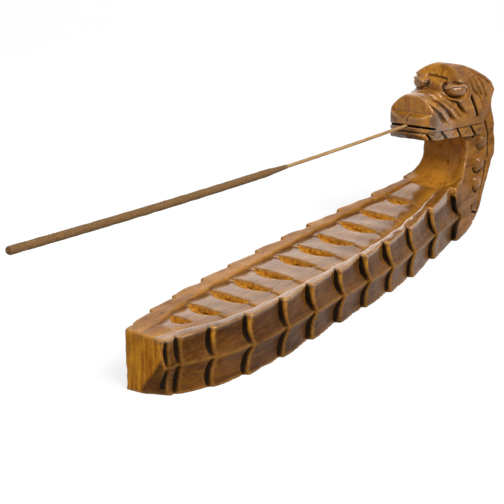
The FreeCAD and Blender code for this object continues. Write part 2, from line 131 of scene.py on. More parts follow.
trunk = dict(
    tailAt=2.5, tailTrim=0.25, tailBow=0.05, tailMiddle=2.0, headAt=207.0, headOverlap=1.5,
    ridge=10.0, upperRow=10.5, rimRise=10.0, rimOver=1.3, corner=0.5,
    nearRim=[(2, 5.3), (8, 6.9), (20.6, 11.6), (35, 15.9), (56, 18.0), (75, 18.3), (93, 18.8), (112, 19.1),
             (131, 18.8), (151, 17.4), (178, 14.4), (207, 11.9)],
    nearBase=[(2, 3.4), (8, 6.2), (18, 13.2), (33.5, 17.6), (54, 19.5), (74, 19.3), (95, 19.2), (114, 19.3),
              (133, 19.2), (152, 18.6), (179, 15.2), (207, 12.0)],
    farRim=[(2, 9.4), (6, 11.0), (25, 14.8), (45, 17.0), (63, 17.6), (80, 17.8), (100, 18.3), (119, 18.3),
            (140, 17.6), (160, 16.2), (182, 13.8), (207, 11.9)],
    farBase=[(2, 9.0), (8, 11.5), (25, 15.6), (45, 17.8), (63, 18.5), (100, 19.2), (140, 18.8), (160, 17.4),
             (182, 14.8), (207, 12.2)],
    ridgeSwell=1.3, swellOver=(8, 30),
    nearTop=[(2, 19.6), (40, 20.0), (140, 20.0), (160, 20.4), (180, 21.3), (207, 23.4)],
    farTop=[(2, 21.0), (60, 20.9), (120, 21.2), (160, 22.2), (182, 23.5), (207, 25.2)],
    facetAt=(2.75, 3.8, 0.0), facetSlope=(-0.953, -0.262, -0.154),
)
scales = dict(
    # each edge by where it meets the ridge, with how far its head and its foot lie from there
    edges=[1.0, 4.3, 9.0, 20.3, 36.6, 56.5, 75.4, 95.2, 114.5, 133.6, 154.0, 178.8, 206.6, 240.0],
    headShift=[-0.5, -0.8, -0.6, 1.4, 1.3, 1.2, 0.1, -0.4, -0.8, -1.6, -0.2, -1.3, -4.4, -4.4],
    footShift=[0.0, -0.3, -1.4, -1.8, -3.2, -2.9, -1.7, -1.5, -1.5, -0.6, -1.0, -0.8, -2.2, -2.2],
    bow=1.0, bowOver=(6, 30),
    step=[0.5, 0.8, 1.2, 1.7, 1.9, 1.9, 2.0, 2.0, 2.0, 2.0, 2.1, 1.8, 1.8],
    unevenStep=0.12, seed=5, draws=40, sinkPower=1.3, faceWidth=1.0, hollow=0.6, farOver=(2, 12),
    slotWidth=1.25, slotEnds=0.3, slotPower=0.6, tailSlots=0.4, fullSlotsOver=(8, 16),
    slotDepth=1.0, depthEnds=0.25, depthPower=0.7, pinchLeast=0.45, pinchOver=3.5,
)


def scalePlace(x, z):
    # which scale a point of the flank is on, its share along it, and its distance from either end:
    # each edge bows tailward in both rows and runs headward into a cusp at the ridge
    up = np.clip((z - trunk["ridge"]) / trunk["ridge"], -1.0, 1.1)
    edges = np.array(scales["edges"])
    headShift, footShift = (np.interp(x, edges, scales[n]) for n in ("headShift", "footShift"))
    shift = np.where(up > 0, headShift, footShift)
    bow = scales["bow"] * ramp(x, *scales["bowOver"])
    sx = x - shift * np.abs(up) + bow * 4 * np.abs(up) * np.clip(1 - np.abs(up), 0, 1)
    index = np.clip(np.searchsorted(edges, sx, side="right") - 1, 0, len(edges) - 2)
    start, end = edges[index], edges[index + 1]
    return index, (sx - start) / (end - start), end - sx, sx - start


def rowBow(z):
    # 0 at the foot and head of a row of scales, 1 in its middle, on a parabola
    ridge = trunk["ridge"]
    up = np.clip(np.where(z > ridge, (z - ridge) / trunk["upperRow"], z / ridge), 0, 1)
    return 4 * up * (1 - up)


def flankSlot(x, z):
    # dark cut in front of each raised edge, widest in the middle of each row and pinched at the ridge
    index, _, toNext, fromLast = scalePlace(x, z)
    swell = upFrom(scales["slotEnds"], rowBow(z) ** scales["slotPower"])
    swell = swell * upFrom(scales["tailSlots"], ramp(x, *scales["fullSlotsOver"]))
    before = fade(toNext, scales["slotWidth"] * swell)
    face = fade(fromLast, scales["faceWidth"]) * (index > 0)
    return np.maximum(before, face) * swell


def flankSink(x, z, side):
    # a scale rises over a steep face at its tail edge, sinks headward, and ends in the slot before the next
    index, along, toNext, fromLast = scalePlace(x, z)
    last = np.maximum(index - 1, 0)
    dice = np.random.default_rng(scales["seed"] + side).normal(size=(scales["draws"], 2))
    upper = (z > trunk["ridge"]).astype(int)
    step = np.array(scales["step"])
    size = step[index] * (1 + scales["unevenStep"] * dice[index, upper])
    before = step[last] * (1 + scales["unevenStep"] * dice[last, upper])
    slot = scales["slotDepth"] * upFrom(scales["depthEnds"], rowBow(z) ** scales["depthPower"])
    face = fade(fromLast, scales["faceWidth"]) * (index > 0)
    deep = fade(toNext, scales["slotWidth"])
    fromRidge = np.clip(np.abs(z - trunk["ridge"]) / scales["pinchOver"], 0, 1)
    pinch = upFrom(scales["pinchLeast"], fromRidge)
    size, before = size * pinch, before * pinch
    sunk = size * np.clip(along, 0, 1) ** scales["sinkPower"] + slot * deep
    sink = np.where(face > 0, face * (before + slot), sunk)
    hollow = scales["hollow"] * rowBow(z)
    return (sink + hollow) * (1.0 if side < 0 else ramp(x, *scales["farOver"]))


def flankReach(x, z, side):
    # half width on one side at a height: straight from base to ridge and from ridge to rim, less the scales
    rim = curve(x, trunk["nearRim" if side < 0 else "farRim"])
    base = curve(x, trunk["nearBase" if side < 0 else "farBase"])
    ridge = (rim + base) / 2 + trunk["ridgeSwell"] * ramp(x, *trunk["swellOver"])
    low = base + (ridge - base) * np.clip(z / trunk["ridge"], 0, 1)
    high = ridge + (rim - ridge) * np.clip((z - trunk["ridge"]) / trunk["rimRise"], 0, trunk["rimOver"])
    return np.where(z < trunk["ridge"], low, high) - flankSink(x, z, side)


# the belly, as a height over (x, y)

belly = dict(
    gouges=[22.1, 34.6, 49.8, 64.3, 78.5, 95.4, 109.5, 124.7, 143.0, 160.1, 180.0],
    start=13.0, startSlope=0.6, floorEdge=(-0.3, 0.9), depth=0.7, nearDip=1.5, farDip=0.5,
    scuteTilt=0.5, scuteLift=0.2, headRise=0.6, headRiseOver=(180, 202),
    throatDrop=2.4, throatOver=(197, 208),
    nearEdge=[(10, 1.6), (16, 5.2), (30, 10.2), (50, 13.4), (80, 14.2), (120, 14.6), (145, 13.2), (170, 10.3),
              (192, 7.8), (207, 6.4)],
    farEdge=[(10, 4.5), (16, 5.4), (30, 7.8), (50, 9.6), (80, 10.5), (120, 11.2), (145, 11.0), (170, 9.6),
             (192, 7.6), (207, 6.4)],
    nearScallop=0.5, farScallop=0.6, halfTurn=3.1416,
    nearCut=dict(deep=0.7, at=0.5, wide=1.1), farCut=dict(deep=0.9, at=0.2, wide=0.8, least=0.3),
    cutFrom=(14, 20), cutTo=(198, 188), nearSoften=0.25, softenOver=(2.2, -0.3),
    gougeLength=6.4, gougeShare=0.8, gougeGrowth=0.02, gougeHalf=8.8, gougeMargin=2.4, gougeShift=2.4,
    gougeDepth=2.2, gougeLead=1.6, stopWidth=0.6, skew=0.11,
)


def bellyGouge(x, y):
    # crescent between two scutes: its floor slopes headward from a curved start to a straight stop
    deep = np.zeros(np.broadcast(x, y).shape)
    for number, at in enumerate(belly["gouges"]):
        near, far = (float(curve(np.array([at]), belly[n])[0]) for n in ("nearEdge", "farEdge"))
        middle = (far - near) / 2 + belly["gougeShift"]
        half = min((far + near) / 2 - belly["gougeMargin"], belly["gougeHalf"])
        lens = np.clip(1 - ((y - middle) / half) ** 2, 0, 1)
        share = belly["gougeShare"] + belly["gougeGrowth"] * number
        length = belly["gougeLength"] * share * lens + 1e-6  # never quite nothing, as it divides
        back = at + belly["gougeLead"] + belly["skew"] * (y - middle) - x
        part = np.minimum(fade(back, length), fade(-back, belly["stopWidth"]))
        deep = np.maximum(deep, part * np.sqrt(lens))
    return deep


def bellyEdges(x, y):
    # distance inside the belly's two edges, which scallop from scute to scute, and the scute's number
    stops = np.array(belly["gouges"])
    place = np.interp(x, stops, np.arange(len(stops)))
    scallop = np.abs(np.sin(belly["halfTurn"] * place))
    near = curve(x, belly["nearEdge"]) + belly["nearScallop"] * scallop - belly["nearScallop"] / 2
    far = curve(x, belly["farEdge"]) + belly["farScallop"] * scallop - belly["farScallop"] / 2
    return y + near, far - y, place


def topHeight(x, y):
    # rims, floor, scutes and gouges as one height over the plan: the rims, less the sunk floor, less the cuts
    nearRim, farRim = curve(x, trunk["nearRim"]), curve(x, trunk["farRim"])
    across = np.clip((y + nearRim) / (nearRim + farRim), -0.1, 1.1)
    rims = curve(x, trunk["nearTop"]) * (1 - across) + curve(x, trunk["farTop"]) * across
    inNear, inFar, place = bellyEdges(x, y)
    inside = np.minimum(np.minimum(inNear, inFar), (x - belly["start"]) * belly["startSlope"])
    floor = ramp(inside, *belly["floorEdge"])
    part = place - np.floor(place)
    toFar = np.clip(inNear / np.maximum(inNear + inFar, 1), 0, 1)
    drop = belly["depth"] + belly["nearDip"] * (1 - toFar) ** 4 + belly["farDip"] * toFar ** 6
    drop = drop + belly["scuteTilt"] * part - belly["scuteLift"]
    drop = drop * (1 - belly["headRise"] * ramp(x, *belly["headRiseOver"]))
    drop = drop + belly["throatDrop"] * ramp(x, *belly["throatOver"])
    near, far = belly["nearCut"], belly["farCut"]
    edgeCut = far["deep"] * fade(np.abs(inFar - far["at"]), far["wide"]) * upFrom(far["least"], part)
    edgeCut = edgeCut + near["deep"] * fade(np.abs(inNear - near["at"]), near["wide"]) * part
    edgeCut = edgeCut * ramp(x, *belly["cutFrom"]) * ramp(x, *belly["cutTo"])
    soften = belly["nearSoften"] * ramp(y + nearRim, *belly["softenOver"])
    return rims - floor * drop - edgeCut - belly["gougeDepth"] * bellyGouge(x, y) - soften


def tailFacet(x, y, z):
    # slanting cut that takes off the lower near corner of the tail end: a plane through a point
    at, slope = trunk["facetAt"], trunk["facetSlope"]
    return slope[0] * (x - at[0]) + slope[1] * (y - at[1]) + slope[2] * (z - at[2])


def trunkField(x, y, z):
    # block between the flanks, under the height of its top, above the table, cut square at the tail
    near, far = flankReach(x, z, -1), flankReach(x, z, 1)
    sides = np.maximum(-y - near, y - far)
    top = z - topHeight(x, y)
    field = smoothMax(sides, top, trunk["corner"])
    field = np.maximum(field, -z)
    tail = trunk["tailAt"] + trunk["tailTrim"] + trunk["tailBow"] * np.abs(y - trunk["tailMiddle"]) - x
    field = smoothMax(field, np.maximum(tail, tailFacet(x, y, z)), trunk["corner"])
    return np.maximum(field, x - trunk["headAt"] - trunk["headOverlap"])


# neck and head, sawn in side view and then carved from the sides

neck = dict(
    outline=[(205.3, -3), (209, -3), (209, 0)] + arcPoints((208.5, 23.5), 23.5, -88, -2)
            + [(233.2, 28), (234.9, 31), (235, 37), (233.6, 46), (231.5, 54), (217.5, 54), (217.5, 36)]
            + arcPoints((207, 35.4), 10.5, -1, -90)
            + [(203.0, 22), (202.6, 16), (205.8, 10), (203.8, 5), (204.8, 0)],
    width=[(203, 12.6), (209, 12.0), (217.5, 9.7), (222, 11.0), (235, 14.7)],
    footWidth=[(203, 12.3), (209, 12.2), (220, 12.2), (235, 12.4)],
    footOver=(28, 14), soften=1.5, corner=0.8,
    scoopCentre=(207.0, 0.0, 35.3), scoopRadius=14.0, scoopCorner=1.0,
)
head = dict(
    outline=[(180.0, 52.4), (180.9, 48.6), (183.6, 46.2), (217.5, 41.5), (224, 41.4), (231, 53),
             (234.9, 58), (233.0, 61.6), (229, 64.6), (224, 67.8), (219, 70.2), (214.8, 71.5),
             (210.8, 71.5), (207.6, 67.2), (206.4, 64.4), (205.8, 61.8), (200, 62.8), (191, 63.5),
             (186.1, 63.3), (185.4, 56.8), (181.2, 55.6)],
    width=[(179.6, 3.0), (180.4, 4.6), (182, 6.9), (184, 8.6), (187, 9.8), (205.5, 10.75),
           (217, 11.9), (235, 14.6)],
    soften=0.8, corner=1.0, neckJoin=1.0,
    domeTop=63.8, domeRise=7.3, domeHalf=10.0, domePower=2.3, domeSteep=0.75, domeCorner=0.5, domeBack=206.2,
    archRadius=13.7, archCentre=57.9, archCorner=1.0,
    foreheadCentre=(198.7, 0.0, 76.0), foreheadRadius=14.2, foreheadCorner=0.9,
)
cuts = dict(
    mouth=dict(slope=-0.27, at=(180.0, 52.4), half=0.4, deep=1.5, back=187.1),
    lowerLip=dict(slope=-0.27, at=(180.0, 50.0), half=0.3, deep=0.8, back=187.0),
    lipGroove=dict(half=0.35, at=54.9, rise=1.3, deep=0.5, back=186.0),
    stickHole=dict(at=(180.0, 52.2), slope=0.063, radius=0.85, back=190.0),
    foreheadLine=dict(at=66.4, slope=0.08, half=0.4, deep=0.6, reach=4.6, back=214.0),
    linePower=0.8,
    # depth, width, darkness (stain and painted shade) and points of each line on the sides
    sideLines=[
        (0.55, 0.55, 0.8, [(184.5, 49.5), (196, 48.0), (206.5, 46.9), (225.5, 45.4)]),
        (1.3, 0.75, 0.8, [(183.9, 48.6), (186.2, 45.2)]),
        (1.5, 0.8, 0.8, [(193.0, 48.2), (198.6, 43.2)]),
        (1.5, 0.8, 0.8, [(206.4, 46.8), (209.7, 42.2)]),
        (1.5, 0.8, 0.8, [(216.9, 45.6), (221.2, 40.4)]),
        (0.35, 0.7, 0.8, [(198.6, 43.4), (205.4, 46.6)]),
        (0.35, 0.7, 0.8, [(209.7, 42.6), (215.8, 45.6)]),
        (0.35, 0.7, 0.8, [(187.0, 45.6), (192.0, 47.8)]),
        (1.4, 1.1, 0.8, [(216.2, 58.2), (218.8, 54.4), (221.2, 49.6)]),
        (1.0, 0.9, 0.25, [(214.0, 66.4), (217.4, 61.0), (221.0, 58.2)]),
        (0.9, 0.8, 0.25, [(217.2, 67.4), (220.2, 61.8), (224.0, 57.8)]),
        (1.1, 0.9, 0.25, [(220.6, 66.4), (224.4, 61.6), (227.6, 56.2)]),
        (0.5, 0.6, 0.8, [(219.6, 60.4), (222.6, 57.0), (225.0, 52.4)]),
        (1.2, 0.8, 0.35, [(220.4, 67.6), (225.0, 65.0), (229.6, 61.8)]),
        (1.1, 0.6, 0.8, [(227.6, 47.6), (229.4, 42.6), (230.4, 39.8), (230.2, 36.6), (230.4, 30.2)]),
        (1.0, 0.6, 0.8, [(229.2, 28.2), (229.0, 23.9), (227.8, 19.3)]),
        (0.9, 0.55, 0.8, [(227.4, 18.2), (226.4, 14.8), (225.3, 11.7), (224.2, 9.2)]),
        (1.0, 0.65, 0.8, [(219.4, 11.6), (219.7, 8.9), (222.6, 8.0), (223.6, 7.7)]),
        (0.7, 0.55, 0.8, [(221.2, 5.0), (222.0, 3.4)]),
        (0.6, 0.7, 0.8, arcPoints((226.2, 36.6), 2.6, 195, 340, 9)),
        (0.8, 0.75, 0.8, arcPoints((224.8, 27.2), 2.8, 190, 350, 9)),
        (0.8, 0.75, 0.8, arcPoints((223.2, 19.4), 2.8, 185, 345, 9)),
    ],
    # x, height, radius and rise of each boss on the neck
    bosses=[(226.3, 37.6, 2.8, 1.7), (224.9, 28.4, 3.0, 1.8), (223.3, 20.8, 3.0, 1.6)],
)
folds = dict(
    # where each wrinkle steps out on top of the snout, and how deep it is
    places=[(187.0, 1.7), (190.4, 0.7), (193.8, 1.9), (198.6, 1.0), (203.4, 1.9)],
    lean=1.1, leanBelow=60.5, sinkOver=4.2, stepOver=0.9, topShare=0.3, topOver=(60.0, 63.0),
    foot=(49.5, 52.5), front=(186.4, 187.6), back=(215, 210),
    lineAhead=0.15, lineThin=0.3, lineMain=1.5, lineWidth=(0.75, 0.3), lineFoot=(50.5, 53.0),
    lineTop=(61.0, 57.5), lineBack=(214, 210),
)
eye = dict(
    at=(209.2, 7.6, 62.8), along=(0.78, 0.63), nearDrop=0.9, farRise=0.5,
    size=(4.3, 3.1, 2.6), ballScale=2.8,
    lidOver=(0.8, 0.6, 0.8), lidScale=3.0, lidFrom=1.95, lidArch=0.06,
    socket=(5.4, 4.0, 3.3), lift=2.1, socketScale=4.0, socketCorner=1.6,
    pitAt=(206.0, 3.9, 64.0), pitSize=(2.0, 1.2, 2.1), pitScale=1.4, pitCorner=0.5,
)


def sideEngraving(x, z, darkened=False):
    # depth of the lines cut into the sides of head and neck, less the rise of the bosses, seen from the side;
    # darkened gives instead how dark the lines are painted, stain and painted shade together
    depth = np.zeros(np.broadcast(x, z).shape)
    for deep, wide, darkness, points in cuts["sideLines"]:
        d = lineDistance(x, z, points)
        full = deep * (darkness if darkened else 1.0)
        depth = np.maximum(depth, full * fade(d, wide) ** cuts["linePower"])
    for cx, cz, r, rise in cuts["bosses"]:
        depth = depth - rise * fade((x - cx) ** 2 + (z - cz) ** 2, r * r)
    return depth


def foldPlace(x, z):
    # x carried up to the top of the snout along a wrinkle, which leans back as it runs down
    return x - folds["lean"] * np.clip(folds["leanBelow"] - z, 0, None)


def snoutFolds(x, z):
    # wrinkles that ring the snout: each sinks slowly headward, then steps out, and is shallower on top
    depth = np.zeros(np.broadcast(x, z).shape)
    for at, deep in folds["places"]:
        back = foldPlace(x, z) - at
        part = np.minimum(fade(-back, folds["sinkOver"]), fade(back, folds["stepOver"]))
        depth = np.maximum(depth, deep * part)
    shallow = 1 - (1 - folds["topShare"]) * ramp(z, *folds["topOver"])
    return depth * shallow * ramp(z, *folds["foot"]) * ramp(x, *folds["back"]) * ramp(x, *folds["front"])


def foldLines(x, z):
    # thin line of painted shade in the foot of each wrinkle, 1 on the line and 0 beyond its width
    sx = foldPlace(x, z)
    near = np.min([np.abs(sx - at + folds["lineAhead"]) + folds["lineThin"] * (deep < folds["lineMain"])
                   for at, deep in folds["places"]], axis=0)
    line = ramp(near, *folds["lineWidth"]) * ramp(z, *folds["lineFoot"])
    return line * ramp(z, *folds["lineTop"]) * ramp(x, *folds["lineBack"])


def eyeFields(x, y, z):
    # eyeball with an upper lid, and socket: ellipsoids turned to face out over the corners of the brow
    px, py = x - eye["at"][0], np.abs(y) - eye["at"][1]
    pz = z - eye["at"][2] + np.where(y < 0, eye["nearDrop"], -eye["farRise"])
    along = eye["along"][0] * px + eye["along"][1] * py
    out = -eye["along"][1] * px + eye["along"][0] * py
    ball = (ellipsoidReach(along, out, pz, eye["size"]) - 1) * eye["ballScale"]
    lidSize = [s + over for s, over in zip(eye["size"], eye["lidOver"])]
    lid = (ellipsoidReach(along, out, pz, lidSize) - 1) * eye["lidScale"]
    lid = np.maximum(lid, eye["lidFrom"] - pz - eye["lidArch"] * along ** 2)
    socket = (ellipsoidReach(along, out - eye["lift"], pz, eye["socket"]) - 1) * eye["socketScale"]
    return np.minimum(ball, lid), socket


def slotLevel(slot, x):
    # height of a slot at x, on a straight slope
    return slot["at"][1] + slot["slope"] * (x - slot["at"][0])


def neckField(x, y, z, engraved):
    # outline in side view against tapering sides, less the round scoop under the jaw
    low = ramp(z, *neck["footOver"])
    sides = np.abs(y) - curve(x, neck["width"], neck["soften"]) * (1 - low)
    sides = sides - curve(x, neck["footWidth"], neck["soften"]) * low + engraved
    body = smoothMax(outlineField(x, z, neck["outline"]), sides, neck["corner"])
    scoop = sphereField(x, y, z, neck["scoopCentre"], neck["scoopRadius"])
    return smoothMax(body, -scoop, neck["scoopCorner"])


def headBlock(x, y, z, engraved):
    # outline in side view against the sides, under a dome over the snout and an arch over the crest
    side, wrinkles = np.abs(y), snoutFolds(x, z)
    sides = side - curve(x, head["width"], head["soften"]) + engraved + wrinkles
    body = smoothMax(outlineField(x, z, head["outline"]), sides, head["corner"])
    dome = z - head["domeTop"] + head["domeRise"] * (side / head["domeHalf"]) ** head["domePower"]
    dome = dome * head["domeSteep"] + wrinkles
    body = np.where(x < head["domeBack"], smoothMax(body, dome, head["domeCorner"]), body)
    arch = np.hypot(y, np.clip(z - head["archCentre"], 0, None)) - head["archRadius"]
    return smoothMax(body, arch, head["archCorner"])


def carveBrow(body, x, y, z):
    # sockets and pits cut in, eyeballs added, a round forehead scooped, and a shallow line cut across it
    side = np.abs(y)
    eyeball, socket = eyeFields(x, y, z)
    body = smoothMax(body, -socket, eye["socketCorner"])
    px, py, pz = eye["pitAt"]
    pits = (ellipsoidReach(x - px, side - py, z - pz, eye["pitSize"]) - 1) * eye["pitScale"]
    body = np.minimum(smoothMax(body, -pits, eye["pitCorner"]), eyeball)
    forehead = sphereField(x, y, z, head["foreheadCentre"], head["foreheadRadius"])
    body = smoothMax(body, -forehead, head["foreheadCorner"])
    line = cuts["foreheadLine"]
    cut = np.maximum(np.abs(z - line["at"] - line["slope"] * y) - line["half"],
                     np.maximum(-body - line["deep"], side - line["reach"]))
    return np.maximum(body, -np.maximum(cut, x - line["back"]))


def carveMouth(body, x, y, z):
    # mouth and lower lip as shallow slots that follow the surface, the groove over the lip, the stick's hole
    for slot in (cuts["mouth"], cuts["lowerLip"]):
        cut = np.maximum(np.abs(z - slotLevel(slot, x)) - slot["half"],
                         np.maximum(-body - slot["deep"], x - slot["back"]))
        body = np.maximum(body, -cut)
    groove = cuts["lipGroove"]
    cut = np.maximum(np.abs(y) - groove["half"],
                     np.maximum(np.abs(z - groove["at"]) - groove["rise"], -body - groove["deep"]))
    body = np.maximum(body, -np.maximum(cut, x - groove["back"]))
    hole = cuts["stickHole"]
    bore = np.hypot(y, z - hole["at"][1] - hole["slope"] * (hole["at"][0] - x)) - hole["radius"]
    return np.maximum(body, -np.maximum(bore, x - hole["back"]))


def headField(x, y, z):
    # carved head and neck, run together where they meet
    engraved = sideEngraving(x, z)
    body = carveMouth(carveBrow(headBlock(x, y, z, engraved), x, y, z), x, y, z)
    return smoothMin(neckField(x, y, z, engraved), body, head["neckJoin"])


# from field to mesh

sampling = dict(
    trunkStep=0.5, headStep=0.37, acrossStep=0.45, lowStep=0.43, joinX=176.0, joinZ=26.5, join=0.7,
    # from and to, along, across and up
    box=[(1.4, 236.2), (-21.5, 21.6), (-0.72, 73.0)], farthest=3.0, table=0.02, triangles=196000,
    # depth, size and seed of each layer of unevenness
    trunkWaver=[(0.10, 11.0, 3), (0.05, 4.5, 4)], headWaver=[(0.10, 9.0, 6), (0.05, 4.0, 7)],
)
cellCorners = [(a, b, c) for a in (0, 1) for b in (0, 1) for c in (0, 1)]


def unevenness(x, y, z, layers):
    # sum of a slow and a quicker waver
    return sum(depth * waver(x, y, z, size, seed) for depth, size, seed in layers)


def fieldGrid():
    # one block of samples, finer at the head: the trunk fills its lower part, neck and head its far end
    (x0, x1), (y0, y1), (z0, z1) = sampling["box"]
    joinX, joinZ, limit, finer = (sampling[n] for n in ("joinX", "joinZ", "farthest", "headStep"))
    xs = np.concatenate([np.arange(x0, joinX, sampling["trunkStep"]), np.arange(joinX, x1, finer)])
    ys = np.arange(y0, y1, sampling["acrossStep"])
    zs = np.concatenate([np.arange(z0, joinZ, sampling["lowStep"]), np.arange(joinZ, z1, finer)])
    field = np.full((len(xs), len(ys), len(zs)), limit, np.float32)
    low, far = np.searchsorted(zs, joinZ), np.searchsorted(xs, joinX)
    x, y, z = xs[:, None, None], ys[None, :, None], zs[None, None, :]
    lowZ, farX = z[:, :, :low], x[far:]
    field[:, :, :low] = trunkField(x, y, lowZ) + unevenness(x, y, lowZ, sampling["trunkWaver"])
    carved = headField(farX, y, z) + unevenness(farX, y, z, sampling["headWaver"])
    field[far:] = smoothMin(field[far:], carved, sampling["join"])
    field = np.maximum(field, -(z - sampling["table"]))
    return np.clip(field, -limit, limit).astype(np.float32), (xs, ys, zs)


def netSurface(field, axes):
    # one vertex for each cell that the surface crosses, at the mean of its edge crossings;
    # one face for each grid edge whose ends lie on either side of the surface
    inside = field < 0
    n = [s - 1 for s in field.shape]
    count = sum(inside[a:a + n[0], b:b + n[1], c:c + n[2]].astype(np.int8) for a, b, c in cellCorners)
    i, j, k = np.nonzero((count > 0) & (count < len(cellCorners)))
    number = np.full(n, -1, np.int64)
    number[i, j, k] = np.arange(len(i))
    total, hits = np.zeros((len(i), 3)), np.zeros(len(i))
    for first in cellCorners:
        for axis in range(3):
            if first[axis]:
                continue
            second = tuple(1 if a == axis else first[a] for a in range(3))
            f0 = field[i + first[0], j + first[1], k + first[2]].astype(float)
            f1 = field[i + second[0], j + second[1], k + second[2]].astype(float)
            hit = (f0 < 0) != (f1 < 0)
            t = np.where(hit, f0 / np.where(hit, f0 - f1, 1), 0)
            for a in range(3):
                total[:, a] += np.where(hit, first[a] + (t if a == axis else 0), 0)
            hits += hit
    cell = np.stack([i, j, k], 1) + total / hits[:, None]
    points = np.stack([np.interp(cell[:, a], np.arange(len(axes[a])), axes[a]) for a in range(3)], 1)
    faces = []
    for axis in range(3):
        u, v = [(1, 2), (2, 0), (0, 1)][axis]
        lower = [slice(1, -1)] * 3
        lower[axis] = slice(0, -1)
        upper = list(lower)
        upper[axis] = slice(1, None)
        a, b = inside[tuple(lower)], inside[tuple(upper)]
        at = np.stack(np.nonzero(a != b), 1)
        at[:, u] += 1
        at[:, v] += 1
        flip = b[tuple((at - np.array([axis != 0, axis != 1, axis != 2]).astype(int)).T)]
        ring = []
        for du, dv in ((-1, -1), (0, -1), (0, 0), (-1, 0)):
            c = at.copy()
            c[:, u] += du
            c[:, v] += dv
            ring.append(number[c[:, 0], c[:, 1], c[:, 2]])
        quad = np.stack(ring, 1)
        quad[flip] = quad[flip][:, ::-1]
        faces.append(quad)
    return points, np.concatenate(faces)


def buildMesh(name, points, faces):
    # points in metres, faces as rows of the same number of corners
    mesh = bpy.data.meshes.new(name)
    corners = faces.shape[1]
    mesh.vertices.add(len(points))
    mesh.vertices.foreach_set("co", points.astype(np.float32).ravel())
    mesh.loops.add(faces.size)
    mesh.loops.foreach_set("vertex_index", faces.astype(np.int32).ravel())
    mesh.polygons.add(len(faces))
    mesh.polygons.foreach_set("loop_start", np.arange(0, faces.size, corners, dtype=np.int32))
    mesh.polygons.foreach_set("use_smooth", np.ones(len(faces), bool))
    mesh.update(calc_edges=True)
    mesh.validate()
    piece = bpy.data.objects.new(name, mesh)
    bpy.context.scene.collection.objects.link(piece)
    return piece


def thinMesh(piece, triangles):
    # collapse edges where the surface is flat until the piece is light enough, and keep that as its mesh;
    # a face of n corners is n - 2 triangles
    whole = piece.data
    have = len(whole.loops) - 2 * len(whole.polygons)
    if have <= triangles:
        return
    modifier = piece.modifiers.new("thin", "DECIMATE")
    modifier.ratio = triangles / have
    ready = piece.evaluated_get(bpy.context.evaluated_depsgraph_get())
    thinned = bpy.data.meshes.new_from_object(ready)
    piece.modifiers.clear()
    piece.data = thinned
    thinned.name = whole.name
    bpy.data.meshes.remove(whole)
    thinned.polygons.foreach_set("use_smooth", np.ones(len(thinned.polygons), bool))


def setAttribute(piece, name, values):
    # one number for each vertex, for the finish to read
    attribute = piece.data.attributes.new(name, "FLOAT", "POINT")
    attribute.data.foreach_set("value", np.asarray(values, np.float32))


def pointsOf(piece):
    # a piece's vertices as rows of x, y, z
    co = np.empty(len(piece.data.vertices) * 3, np.float32)
    piece.data.vertices.foreach_get("co", co)
    return co.reshape(-1, 3).astype(float)


def boxBlur(a, reach):
    # mean over a small cube, one axis after the other, by running sums
    for axis in range(3):
        padded = np.pad(a, [(reach + 1, reach) if s == axis else (0, 0) for s in range(3)], mode="edge")
        sums = np.cumsum(padded, axis=axis, dtype=np.float32)
        ahead = np.take(sums, np.arange(2 * reach + 1, sums.shape[axis]), axis=axis)
        behind = np.take(sums, np.arange(0, sums.shape[axis] - 2 * reach - 1), axis=axis)
        a = (ahead - behind) / (2 * reach + 1)
    return a


def sampleGrid(a, axes, x, y, z):
    # value of a grid between its samples, straight between the eight around each point
    index, part = [], []
    for values, axis in zip((x, y, z), axes):
        place = np.interp(values, axis, np.arange(len(axis)))
        low = np.clip(place.astype(int), 0, len(axis) - 2)
        index.append(low)
        part.append(place - low)
    total = 0.0
    for da, db, dc in cellCorners:
        weight = (part[0] if da else 1 - part[0]) * (part[1] if db else 1 - part[1])
        weight = weight * (part[2] if dc else 1 - part[2])
        total = total + weight * a[index[0] + da, index[1] + db, index[2] + dc]
    return total


field, axes = fieldGrid()
print("carving sampled:", field.shape)
points, faces = netSurface(field, axes)
points[:, 0] += datum["x"]
carving = buildMesh("carved_creature", points / datum["perMetre"], faces)
thinMesh(carving, sampling["triangles"])
print("carving meshed:", len(faces), "faces, kept", len(carving.data.polygons))


# masks for the finish, one number for each vertex of the carving

